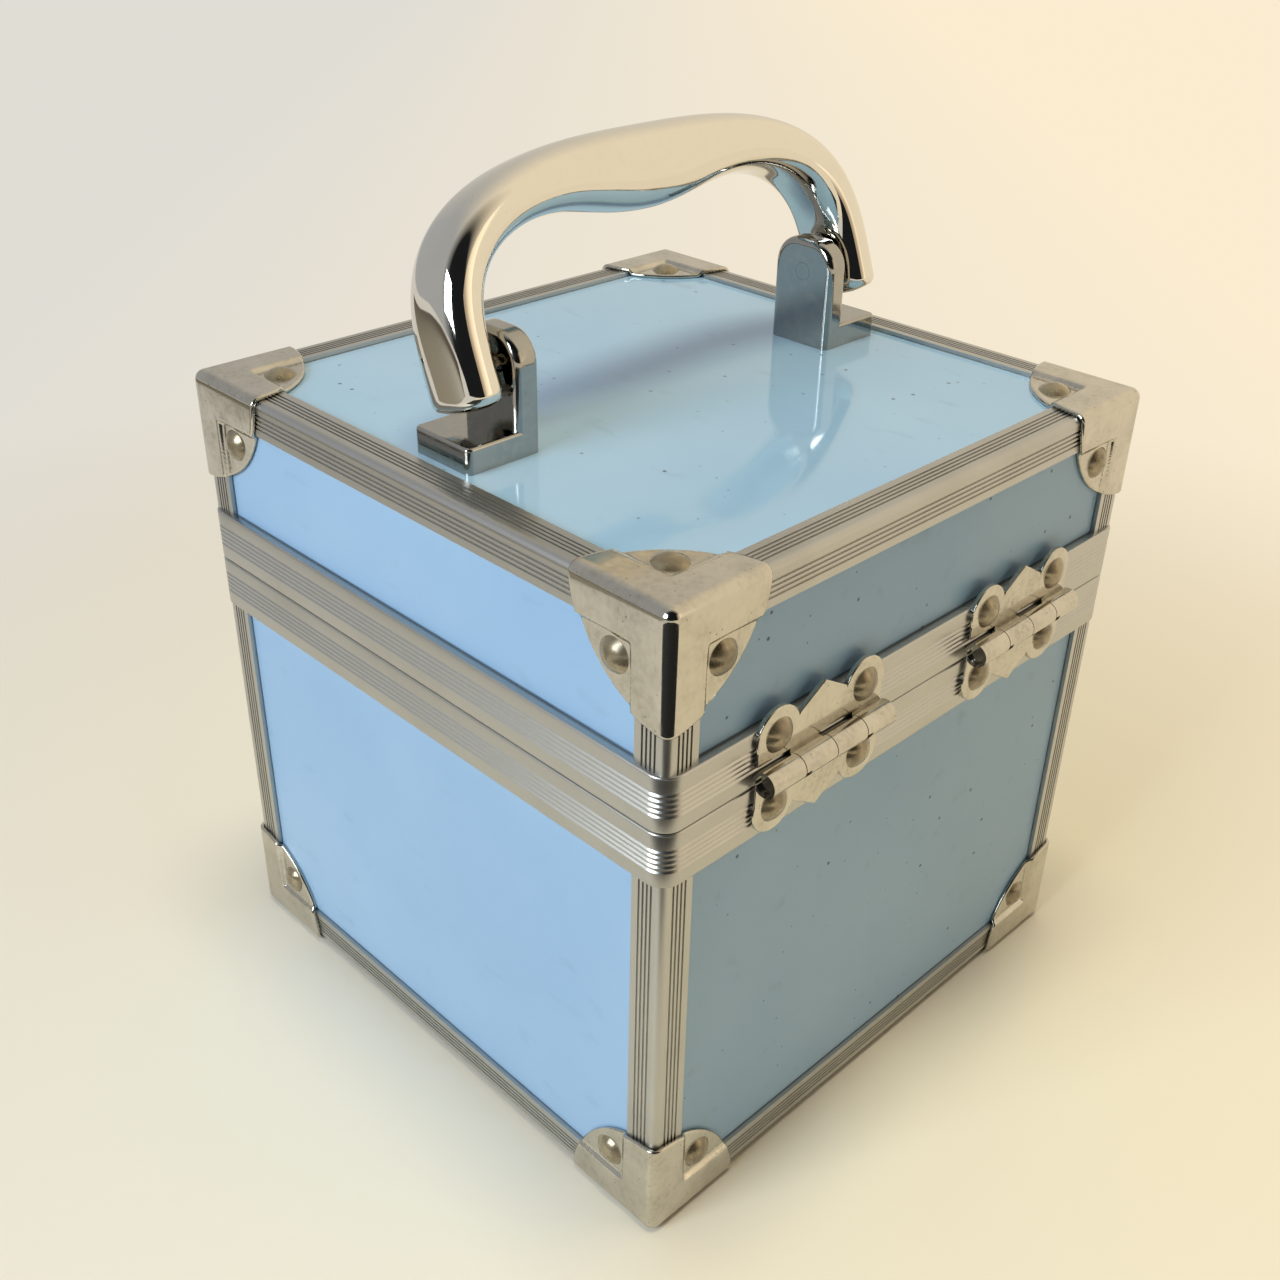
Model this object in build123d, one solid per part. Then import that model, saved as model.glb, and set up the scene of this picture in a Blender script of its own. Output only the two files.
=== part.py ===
"""A small cube-shaped sewing box with two lifting trays, in millimetres.

+Z is up, X runs along the hinge line and +Y is the rear, where the hinges are.
The origin is on the resting plane, below the middle of the box.
"""
import os
from bisect import bisect
from itertools import accumulate, pairwise
from math import copysign, cos, dist, exp, radians, sin

from build123d import *

# Box
WIDTH = 150.0           # over the corner caps, X
DEPTH = 150.0           # over the corner caps, Y
HEIGHT = 152.0          # over the corner caps, Z
LID_DEPTH = 45.8        # top to the seam, where lid and base meet
SEAM_GAP = 0.2
SHEET = 1.0             # corner caps and hinge leaves
PANEL = 3.5             # board thickness

# Edge angles
ANGLE_LEG = 8.0
ANGLE_WALL = 1.0
ANGLE_ROUND = 1.6
ANGLE_GROOVES = 4
ANGLE_GROOVE_START = 2.9
ANGLE_GROOVE_PITCH = 1.05
GROOVE_WIDTH = 0.5
GROOVE_DEPTH = 0.3
ANGLE_END_GAP = 0.5     # between angles that meet under a corner cap

# Rim bands
BAND_HEIGHT = 12.2
BAND_ROUND = 4.5
BAND_FLANGE = 1.2
BAND_LEG = 5.0          # leg inside the box
BAND_LEG_WALL = 1.0
BAND_GROOVES = 5
BAND_GROOVE_PITCH = 1.15
BAND_GROOVE_FROM_SEAM = 6.2

# Corner caps and rivets
CAP_REACH = 25.0
CAP_ARM = 9.9
CAP_LAP = 0.8           # how far an arm laps over the sunk web
CAP_STEP_ROUND = 2.0
CAP_ROUND = 2.4
RIVET_INSET = 14.2
RIVET_RADIUS = 3.6
RIVET_HEIGHT = 1.7
RIVET_LOW_HEIGHT = 0.8  # on the underside, inside the depth of the cap arms

# Hinges
HINGE_INSET = 41.3      # middle of a hinge from the side of the box
HINGE_RISE = 2.0        # axis above the seam
BARREL_RADIUS = 2.7
HINGE_PIN_RADIUS = 1.9
HINGE_PIN_RECESS = 0.9  # pin ends inside the barrel
HINGE_NOTCH = 1.6       # square holes where the upper leaf's knuckles end
KNUCKLES = 4
KNUCKLE = 9.2
KNUCKLE_GAP = 0.2
LOBE_X = 12.7
LOBE_RISE = 7.9
LOBE_RADIUS = 6.0
PEAK_RISE = 14.4
VALLEY_RISE = 10.3
VALLEY_X = 6.8
HINGE_RIVET_RADIUS = 3.7
LEAF_EDGE = 0.3         # rounding of pressed sheet edges
RUN_FIT = 0.05          # radial clearance of a pin that turns

# Handle
FOOT_INSET = 12.0           # foot from the side of the box
FOOT_LENGTH = 18.5
FOOT_WIDTH = 17.2
FOOT_PLATE = 5.5
EAR_THICK = 6.0
EAR_TOP_ROUND = 6.5
EAR_OVER_PIVOT = 7.6
EAR_EDGE = 1.6
FOOT_CORNER = 1.4
FOOT_EDGE = 0.7
HANDLE_PIVOT_RISE = 17.3    # pivot above the top panel
HANDLE_PIN_RADIUS = 2.0
HANDLE_PIN_DEPTH = 6.0      # of the pin in the leg
EAR_GAP = 2.0               # ear to leg
LEG_THICK = 10.0
LEG_HALF_DEPTH = 8.6
LEG_END_DROP = 7.4
LEG_END_ROUND = 1.8
BOW_OUTER_RISE = 38.9
BOW_INNER_RISE = 27.0
BOW_OUTER_POWER = 2.9
BOW_INNER_POWER = 3.2
GRIP_BELLY = 5.2
GRIP_BELLY_SPREAD = 21.6
GRIP_HALF_DEPTH = 8.0
HANDLE_LEAN = 20.0          # towards the front, as it is left standing
BOW_SECTION_POWER = 2.7
BOW_STATIONS = 13           # sections from a pivot to the middle
BOW_STEPS = 400             # fine steps from which their even spacing is worked out
BOW_SPANS = 6               # spline spans in a quarter of a section

# Latch
HASP_PIVOT_RISE = 7.2       # above the seam
HASP_PIVOT_OUT = 1.4        # beyond the latch plate
HASP_BARREL = 1.9
HASP_PIN_RADIUS = 1.0
HASP_SHEET = 1.0
HASP_ROUND = 4.0
HASP_WIDTH = 22.0
HASP_DROP = 21.0            # from the pivot to the lower end
HASP_KNUCKLE = 10.0
LATCH_SEAM_GAP = 1.0        # plate edges from the seam
LATCH_ROUND = 3.0
LATCH_PLATE_WIDTH = 34.0
LATCH_PLATE_TOP = 12.0      # above the seam
CATCH_WIDTH = 34.0
CATCH_BOTTOM = 11.6         # below the seam
NOSE_DROP = 6.6             # nose centre below the seam
NOSE_WIDTH = 11.0
NOSE_HEIGHT = 4.4
NOSE_REACH = 2.6            # beyond the catch plate
NOSE_ROUND = 1.3
NOSE_CLEARANCE = 0.5
HASP_LIFT = 5.6             # degrees, where the hasp rests on the nose unlatched
LATCH_RIVET_RADIUS = 2.2
LATCH_RIVET_HEIGHT = 1.0
LATCH_RIVET_X = 13.6
LATCH_RIVET_OFF = 6.4       # from the seam

# Tray lift
LIFT_ANGLE = 11.0           # arms at rest, below level
ARM_RADIUS = 64.0           # base pivot to upper tray pivot
ARM_WIDTH = 8.0
ARM_SHEET = 1.0
REAR_PIVOT_INSET = 9.5      # from the rear board
REAR_PIVOT_DROP = 11.2      # below the seam
FRONT_PIVOT_INSET = 55.5    # from the front board
FRONT_PIVOT_DROP = 41.2
LOWER_SHARE = 0.5           # where the lower tray hangs, as a share of ARM_RADIUS
PIVOT_PIN_RADIUS = 1.6
PIVOT_FLANGE_RADIUS = 4.0
PIN_HEAD_RADIUS = 3.2
PIN_HEAD = 0.5
COLLAR_RADIUS = 2.4
SIDE_GAP = 1.3              # wall to arm
LIFT_GAP = 0.2              # between layers that slide past each other
STRIP_SHEET = 0.8
STRIP_WIDTH = 10.0
STRIP_TOP = 28.0            # above the seam
STRIP_FOOT = 18.0
HANGER_SHEET = 1.0
HANGER_WIDTH = 10.0
HANGER_LAP = 15.0           # on the side of the lower tray

# Trays
TRAY_FRONT_INSET = 9.5      # from the front board
TRAY_REAR_INSET = 24.0      # from the rear pivots
TRAY_FRONT_ROW = 40.0       # to the wall along X between the compartments
TRAY_WALL = 1.8
TRAY_ROUND = 4.0
TRAY_FOOT_ROUND = 2.2       # round its bottom
TRAY_LIP_ROUND = 0.7
TRAY_HEIGHT = 24.0
UPPER_TRAY_DROP = 5.2       # top of the upper tray below the seam
TRAY_STACK_GAP = 2.0
DIVIDER = 1.4
DIVIDER_DROP = 3.0          # dividers below the tray's edge

# Soft sheets
MAT = 2.0
MAT_GAP = 0.5
PAD = 2.0

# Worked-out planes, from the outside in
HALF_X = WIDTH / 2
HALF_Y = DEPTH / 2
FRAME_X = HALF_X - SHEET
FRAME_Y = HALF_Y - SHEET
BOARD_X = FRAME_X - ANGLE_WALL
BOARD_Y = FRAME_Y - ANGLE_WALL
INSIDE_X = BOARD_X - PANEL
INSIDE_Y = BOARD_Y - PANEL
SEAM_Z = HEIGHT - LID_DEPTH
FRAME_LOW = SHEET
FRAME_HIGH = HEIGHT - SHEET
FLOOR_LOW = FRAME_LOW + ANGLE_WALL
FLOOR_HIGH = FLOOR_LOW + PANEL
TOP_HIGH = FRAME_HIGH - ANGLE_WALL
TOP_LOW = TOP_HIGH - PANEL
BASE_RIM_Z = SEAM_Z - SEAM_GAP / 2
LID_RIM_Z = SEAM_Z + SEAM_GAP / 2
HINGE_X = HALF_X - HINGE_INSET
HINGE_Y = HALF_Y + BARREL_RADIUS
HINGE_Z = SEAM_Z + HINGE_RISE
FOOT_IN_X = HALF_X - FOOT_INSET - FOOT_LENGTH
LEG_IN_X = FOOT_IN_X + EAR_THICK + EAR_GAP
PIVOT_Z = TOP_HIGH + HANDLE_PIVOT_RISE

# Layers of the tray lift on the +X side, from the wall inwards
ARM_OUT_X = INSIDE_X - SIDE_GAP
ARM_IN_X = ARM_OUT_X - ARM_SHEET
PIN_HEAD_IN_X = ARM_IN_X - LIFT_GAP - PIN_HEAD
STRIP_OUT_X = PIN_HEAD_IN_X - LIFT_GAP
STRIP_IN_X = STRIP_OUT_X - STRIP_SHEET
HANGER_OUT_X = STRIP_IN_X - LIFT_GAP
LOWER_TRAY_X = HANGER_OUT_X - HANGER_SHEET
UPPER_TRAY_X = LOWER_TRAY_X - LIFT_GAP

# Pivots of the tray lift, as (Y, Z)
REACH = (-ARM_RADIUS * cos(radians(LIFT_ANGLE)), -ARM_RADIUS * sin(radians(LIFT_ANGLE)))
ARM_PIVOT = {
    "rear": (INSIDE_Y - REAR_PIVOT_INSET, SEAM_Z - REAR_PIVOT_DROP),
    "front": (-INSIDE_Y + FRONT_PIVOT_INSET, SEAM_Z - FRONT_PIVOT_DROP),
}
ARM_HOLES = {"rear": (0, LOWER_SHARE, 1), "front": (0, LOWER_SHARE)}
STRIP_PIVOT = (HINGE_Y + REACH[0], HINGE_Z + REACH[1])
TRAY_FRONT_Y = -INSIDE_Y + TRAY_FRONT_INSET
TRAY_REAR_Y = ARM_PIVOT["rear"][0] - TRAY_REAR_INSET
TRAY_SPLIT_Y = TRAY_FRONT_Y + TRAY_FRONT_ROW

SIDES = {"left": -1, "right": 1}


def block(x, y, z):
    """A box between the two values of each pair."""
    size = [high - low for low, high in (x, y, z)]
    middle = [(high + low) / 2 for low, high in (x, y, z)]
    return Pos(*middle) * Box(*size)


def rod_x(radius, x, y, z):
    """A round rod along X between the two values of x."""
    return Pos((x[0] + x[1]) / 2, y, z) * Rot(0, 90, 0) * Cylinder(radius, x[1] - x[0])


def plate_xz(sketch, y):
    """A flat plate drawn in X and Z, between the two values of y."""
    return extrude(Plane(origin=(0, y[1], 0), x_dir=(1, 0, 0), z_dir=(0, -1, 0)) * sketch, y[1] - y[0])


def plate_yz(sketch, x):
    """A flat plate drawn in Y and Z, between the two values of x."""
    return extrude(Plane(origin=(x[0], 0, 0), x_dir=(0, 1, 0), z_dir=(1, 0, 0)) * sketch, x[1] - x[0])


def pressed_plate(sketch, y):
    """A plate drawn in X and Z whose edges are rounded on its +Y face."""
    plate = plate_xz(sketch, y)
    return fillet(plate.faces().sort_by(Axis.Y)[-1].edges(), LEAF_EDGE)


def mirror_x(shape):
    return mirror(shape, about=Plane.YZ)


def mirror_y(shape):
    return mirror(shape, about=Plane.XZ)


def on_side(shape, sign):
    """The shape on the +X side, or its mirror image on the -X side."""
    return shape if sign > 0 else mirror_x(shape)


def panels():
    """Boards of base and lid: each wall stands between the floor or top board and its rim."""
    base_wall = (FLOOR_HIGH, BASE_RIM_Z - BAND_FLANGE)
    lid_wall = (LID_RIM_Z + BAND_FLANGE, TOP_LOW)
    full_x, full_y, between = (-BOARD_X, BOARD_X), (-BOARD_Y, BOARD_Y), (-INSIDE_X, INSIDE_X)
    found = {
        "base_floor_panel": block(full_x, full_y, (FLOOR_LOW, FLOOR_HIGH)),
        "lid_top_panel": block(full_x, full_y, (TOP_LOW, TOP_HIGH)),
    }
    for shell, wall in (("base", base_wall), ("lid", lid_wall)):
        side = block((INSIDE_X, BOARD_X), full_y, wall)
        end = block(between, (INSIDE_Y, BOARD_Y), wall)
        found |= {f"{shell}_{name}_panel": on_side(side, sign) for name, sign in SIDES.items()}
        found |= {f"{shell}_rear_panel": end, f"{shell}_front_panel": mirror_y(end)}
    return found


def angle_profile():
    """L section with its outer corner at the origin and fine grooves along both legs."""
    corner = (Align.MIN, Align.MIN)
    section = Rectangle(ANGLE_LEG, ANGLE_LEG, align=corner)
    section -= Pos(ANGLE_WALL, ANGLE_WALL) * Rectangle(ANGLE_LEG, ANGLE_LEG, align=corner)
    section = fillet(section.vertices().sort_by_distance((0, 0, 0))[0], ANGLE_ROUND)
    for i in range(ANGLE_GROOVES):
        at = ANGLE_GROOVE_START + i * ANGLE_GROOVE_PITCH
        section -= Pos(at, GROOVE_DEPTH / 2) * Rectangle(GROOVE_WIDTH, GROOVE_DEPTH)
        section -= Pos(GROOVE_DEPTH / 2, at) * Rectangle(GROOVE_DEPTH, GROOVE_WIDTH)
    return section


def angle_bar(profile, middle, along_u, along_v, length):
    """One edge angle: its legs run along_u and along_v from the outer edge through middle."""
    run = Vector(*along_u).cross(Vector(*along_v))
    plane = Plane(origin=middle, x_dir=along_u, z_dir=run)
    return extrude(plane * profile, amount=length / 2, both=True)


def edge_angles():
    """Posts at the corners and angles round the floor and the top, each kind as one group."""
    profile = angle_profile()
    setback = ANGLE_LEG + ANGLE_END_GAP
    long_x, long_y = 2 * (FRAME_X - setback), 2 * (FRAME_Y - setback)
    base_post = (FRAME_LOW + setback, BASE_RIM_Z - BAND_HEIGHT)
    lid_post = (LID_RIM_Z + BAND_HEIGHT, FRAME_HIGH - setback)
    groups = {}
    for name, (low, high) in (("base_corner_posts", base_post), ("lid_corner_posts", lid_post)):
        middle = (low + high) / 2
        groups[name] = [
            angle_bar(profile, (sx * FRAME_X, sy * FRAME_Y, middle), (-sx, 0, 0), (0, -sy, 0), high - low)
            for sx in (1, -1) for sy in (1, -1)
        ]
    rings = (("base_bottom_edges", FRAME_LOW, (0, 0, 1)), ("lid_top_edges", FRAME_HIGH, (0, 0, -1)))
    for name, z, up in rings:
        along_x = [angle_bar(profile, (0, s * FRAME_Y, z), (0, -s, 0), up, long_x) for s in (1, -1)]
        along_y = [angle_bar(profile, (s * FRAME_X, 0, z), (-s, 0, 0), up, long_y) for s in (1, -1)]
        groups[name] = along_x + along_y
    return {name: Compound(children=bars) for name, bars in groups.items()}


def base_rim():
    """Band round the base's edge: a grooved outer face, a flange over the boards and an inner leg."""
    top, low = BASE_RIM_Z, BASE_RIM_Z - BAND_HEIGHT
    ring = Pos(0, 0, low) * extrude(RectangleRounded(WIDTH, DEPTH, BAND_ROUND), BAND_HEIGHT)
    ring -= block((-BOARD_X, BOARD_X), (-BOARD_Y, BOARD_Y), (low, top - BAND_FLANGE))
    opening_x, opening_y = INSIDE_X - BAND_LEG_WALL, INSIDE_Y - BAND_LEG_WALL
    ring -= block((-opening_x, opening_x), (-opening_y, opening_y), (low, top))
    leg = block((-INSIDE_X, INSIDE_X), (-INSIDE_Y, INSIDE_Y), (top - BAND_LEG, top - BAND_FLANGE))
    leg -= block((-opening_x, opening_x), (-opening_y, opening_y), (low, top))
    ring += leg
    inner_x, inner_y = WIDTH - 2 * GROOVE_DEPTH, DEPTH - 2 * GROOVE_DEPTH
    groove = Rectangle(2 * WIDTH, 2 * DEPTH) - RectangleRounded(inner_x, inner_y, BAND_ROUND - GROOVE_DEPTH)
    for i in range(BAND_GROOVES):
        at = SEAM_Z - BAND_GROOVE_FROM_SEAM + (i - (BAND_GROOVES - 1) / 2) * BAND_GROOVE_PITCH
        ring -= Pos(0, 0, at - GROOVE_WIDTH / 2) * extrude(groove, GROOVE_WIDTH)
    return ring


def corner_cap():
    """Cap of the top corner at +X +Y: three quarter discs with raised arms and a sunk web."""
    lap = CAP_ARM - CAP_LAP
    quarter = Circle(CAP_REACH) & Rectangle(CAP_REACH, CAP_REACH, align=(Align.MAX, Align.MAX))
    window = Pos(-CAP_ARM, -CAP_ARM) * Rectangle(CAP_REACH, CAP_REACH, align=(Align.MAX, Align.MAX))
    window = fillet(window.vertices().sort_by_distance((0, 0, 0))[0], CAP_STEP_ROUND)
    web = quarter & Pos(-lap, -lap) * Rectangle(CAP_REACH, CAP_REACH, align=(Align.MAX, Align.MAX))
    plate = Pos(0, 0, -SHEET) * extrude(quarter - window, SHEET)
    plate += Pos(0, 0, -SHEET - ANGLE_WALL) * extrude(web, SHEET)
    diagonal = Axis((0, 0, 0), (1, 1, 1))
    cap = plate + plate.rotate(diagonal, 120) + plate.rotate(diagonal, 240)
    envelope = Box(2 * CAP_REACH, 2 * CAP_REACH, 2 * CAP_REACH, align=(Align.MAX, Align.MAX, Align.MAX))
    meeting = envelope.edges().sort_by_distance((0, 0, 0))[:3]
    return Pos(HALF_X, HALF_Y, HEIGHT) * (cap & fillet(meeting, CAP_ROUND))


def rivet(radius, height):
    """Domed rivet head standing on Z = 0."""
    sphere = (radius ** 2 + height ** 2) / (2 * height)
    dome = Pos(0, 0, height - sphere) * Sphere(sphere)
    return dome & Pos(0, 0, height) * Cylinder(2 * radius, 2 * height)


def cap_rivets(low_height):
    """Rivets of the top cap at +X +Y, one on the web of each face."""
    head, top_head = rivet(RIVET_RADIUS, RIVET_HEIGHT), rivet(RIVET_RADIUS, low_height)
    x, y, z = HALF_X - RIVET_INSET, HALF_Y - RIVET_INSET, HEIGHT - RIVET_INSET
    return [
        Pos(x, y, HEIGHT - SHEET) * top_head,
        Pos(HALF_X - SHEET, y, z) * Rot(0, 90, 0) * head,
        Pos(x, HALF_Y - SHEET, z) * Rot(-90, 0, 0) * head,
    ]


def four_corners(shapes):
    """The shapes at +X +Y and their mirror images at the other three corners."""
    pair = list(shapes) + [mirror_x(shape) for shape in shapes]
    return pair + [mirror_y(shape) for shape in pair]


def caps_and_rivets():
    cap = corner_cap()
    middle = Plane.XY.offset(HEIGHT / 2)
    low_cap = mirror(cap, about=middle)
    found = {}
    for shell, shape in (("lid", cap), ("base", low_cap)):
        found[f"{shell}_cap_rear_right"] = shape
        found[f"{shell}_cap_rear_left"] = mirror_x(shape)
        found[f"{shell}_cap_front_right"] = mirror_y(shape)
        found[f"{shell}_cap_front_left"] = mirror_x(mirror_y(shape))
    low_rivets = [mirror(shape, about=middle) for shape in cap_rivets(RIVET_LOW_HEIGHT)]
    found["lid_cap_rivets"] = Compound(children=four_corners(cap_rivets(RIVET_HEIGHT)))
    found["base_cap_rivets"] = Compound(children=four_corners(low_rivets))
    return found


def leaf_outline():
    """Half of the scalloped leaf above the hinge line, centred on X = 0 with the axis at Z = 0."""
    half = KNUCKLES * KNUCKLE / 2
    body = Rectangle(2 * half, LOBE_RISE, align=(Align.CENTER, Align.MIN))
    lobes = Pos(-LOBE_X, LOBE_RISE) * Circle(LOBE_RADIUS) + Pos(LOBE_X, LOBE_RISE) * Circle(LOBE_RADIUS)
    roof = make_face(Polyline(
        (-LOBE_X, 0), (-VALLEY_X, VALLEY_RISE), (0, PEAK_RISE), (VALLEY_X, VALLEY_RISE), (LOBE_X, 0),
        close=True,
    ))
    return body + lobes + roof


def hinge_leaf(first):
    """Leaf rising from the hinge axis, with every second knuckle from the given one."""
    leaf = pressed_plate(leaf_outline(), (HALF_Y - HINGE_Y, HALF_Y - HINGE_Y + SHEET))
    start = -KNUCKLES * KNUCKLE / 2
    for i in range(KNUCKLES):
        low, high = start + i * KNUCKLE, start + (i + 1) * KNUCKLE
        if i % 2 == first:
            leaf += rod_x(BARREL_RADIUS, (low + KNUCKLE_GAP / 2, high - KNUCKLE_GAP / 2), 0, 0)
        else:
            room = BARREL_RADIUS + 2 * KNUCKLE_GAP
            leaf -= block((low - KNUCKLE_GAP / 2, high + KNUCKLE_GAP / 2), (-room, room), (-room, room))
    return leaf - rod_x(HINGE_PIN_RADIUS + RUN_FIT, (2 * start, -2 * start), 0, 0)


def hinges():
    upper, lower = hinge_leaf(0), mirror(hinge_leaf(1), about=Plane.XY)
    length = KNUCKLES * KNUCKLE / 2
    for end in range(1, KNUCKLES, 2):
        x = end * KNUCKLE - length
        upper -= block((x - HINGE_NOTCH, x), (0, BARREL_RADIUS), (-HINGE_NOTCH - LEAF_EDGE, -LEAF_EDGE))
    length -= HINGE_PIN_RECESS
    head = Rot(-90, 0, 0) * rivet(HINGE_RIVET_RADIUS, RIVET_HEIGHT)
    found, lid_heads, base_heads = {}, [], []
    for name, sign in SIDES.items():
        place = Pos(sign * HINGE_X, HINGE_Y, HINGE_Z)
        found[f"hinge_upper_leaf_{name}"] = place * upper
        found[f"hinge_lower_leaf_{name}"] = place * lower
        found[f"hinge_pin_{name}"] = place * rod_x(HINGE_PIN_RADIUS, (-length, length), 0, 0)
        for lobe in (-LOBE_X, LOBE_X):
            seat = Pos(sign * HINGE_X + lobe, HALF_Y + SHEET, HINGE_Z)
            lid_heads.append(seat * Pos(0, 0, LOBE_RISE) * head)
            base_heads.append(seat * Pos(0, 0, -LOBE_RISE) * head)
    found["lid_hinge_rivets"] = Compound(children=lid_heads)
    found["base_hinge_rivets"] = Compound(children=base_heads)
    return found


def handle_foot():
    """Foot at +X: a plate under the handle's end and a round-topped ear beside it."""
    span_x = (FOOT_IN_X + EAR_THICK / 2, FOOT_IN_X + FOOT_LENGTH)
    plate = block(span_x, (-FOOT_WIDTH / 2, FOOT_WIDTH / 2), (TOP_HIGH, TOP_HIGH + FOOT_PLATE))
    plate = fillet(plate.edges().filter_by(Axis.Z).group_by(Axis.X)[-1], FOOT_CORNER)
    top_edges = plate.faces().sort_by(Axis.Z)[-1].edges()
    plate = fillet(top_edges - top_edges.group_by(Axis.X)[0], FOOT_EDGE)
    height = HANDLE_PIVOT_RISE + EAR_OVER_PIVOT
    outline = Pos(0, TOP_HIGH) * Rectangle(FOOT_WIDTH, height, align=(Align.CENTER, Align.MIN))
    outline = fillet(outline.vertices().group_by(Axis.Y)[-1], EAR_TOP_ROUND)
    ear = plate_yz(outline, (FOOT_IN_X, FOOT_IN_X + EAR_THICK))
    sides = ear.faces().sort_by(Axis.X)
    ear = fillet(sides[0].edges() + sides[-1].edges() - ear.edges().group_by(Axis.Z)[0], EAR_EDGE)
    foot = plate + ear
    return foot - rod_x(HANDLE_PIN_RADIUS + RUN_FIT, (FOOT_IN_X, FOOT_IN_X + EAR_THICK), 0, PIVOT_Z)


def superellipse(turn, across, up, power):
    """Point at a turn of a superellipse with the given half axes."""
    x, y = (copysign(abs(value) ** (2 / power), value) for value in (cos(turn), sin(turn)))
    return across * x, up * y


def bow_station(turn):
    """Outer point, inner point and half depth of the bow, from a pivot at turn 0 to the middle."""
    outer = superellipse(turn, LEG_IN_X + LEG_THICK, BOW_OUTER_RISE, BOW_OUTER_POWER)
    x, z = superellipse(turn, LEG_IN_X, BOW_INNER_RISE, BOW_INNER_POWER)
    share = z / BOW_INNER_RISE
    z -= share * GRIP_BELLY * exp(-((x / GRIP_BELLY_SPREAD) ** 2))
    return outer, (x, z), LEG_HALF_DEPTH + (GRIP_HALF_DEPTH - LEG_HALF_DEPTH) * share


def bow_stations():
    """Stations from one leg's end to the other's, evenly spaced along the bow's middle line."""
    fine = [bow_station(radians(90) * i / BOW_STEPS) for i in range(BOW_STEPS + 1)]
    middles = [((outer[0] + inner[0]) / 2, (outer[1] + inner[1]) / 2) for outer, inner, _ in fine]
    run = list(accumulate((dist(a, b) for a, b in pairwise(middles)), initial=0))
    half = [fine[bisect(run, run[-1] * i / (BOW_STATIONS - 1)) - 1] for i in range(BOW_STATIONS)]
    for drop in (LEG_END_DROP / 2, LEG_END_DROP):
        half.insert(0, ((LEG_IN_X + LEG_THICK, -drop), (LEG_IN_X, -drop), LEG_HALF_DEPTH))
    return half + [((-a[0], a[1]), (-b[0], b[1]), depth) for a, b, depth in reversed(half[:-1])]


def bow_section(outer, inner, half_depth):
    """Superelliptic section between the bow's outer and inner point, as four quarter splines."""
    across = Vector(outer[0] - inner[0], 0, outer[1] - inner[1])
    middle = ((outer[0] + inner[0]) / 2, 0, (outer[1] + inner[1]) / 2)
    plane = Plane(origin=middle, x_dir=across, z_dir=across.cross(Vector(0, 1, 0)))
    ways = [(0, 1), (-1, 0), (0, -1), (1, 0), (0, 1)]
    quarters = []
    for i in range(4):
        turns = [radians(90) * (i + j / BOW_SPANS) for j in range(BOW_SPANS + 1)]
        points = [superellipse(turn, across.length / 2, half_depth, BOW_SECTION_POWER) for turn in turns]
        quarters.append(Spline(points, tangents=ways[i:i + 2]))
    return plane * make_face(quarters)


def bow_handle():
    """Chromed bow: legs that hang beside the ears, round shoulders and a grip with a full belly."""
    bow = loft([bow_section(*station) for station in bow_stations()])
    ends = bow.faces().group_by(Axis.Z)[0]
    bow = fillet(ends.edges(), LEG_END_ROUND)
    for sign in SIDES.values():
        hole = rod_x(HANDLE_PIN_RADIUS + RUN_FIT, (FOOT_IN_X, LEG_IN_X + HANDLE_PIN_DEPTH), 0, 0)
        bow -= on_side(hole, sign)
    return bow


def handle():
    place = Pos(0, 0, PIVOT_Z)
    foot = handle_foot()
    pin = rod_x(HANDLE_PIN_RADIUS, (FOOT_IN_X, LEG_IN_X + HANDLE_PIN_DEPTH), 0, PIVOT_Z)
    return {
        "bow_handle": place * Rot(HANDLE_LEAN, 0, 0) * bow_handle(),
        "handle_pins": Compound(children=[pin, mirror_x(pin)]),
        "handle_foot_right": foot,
        "handle_foot_left": mirror_x(foot),
    }


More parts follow.
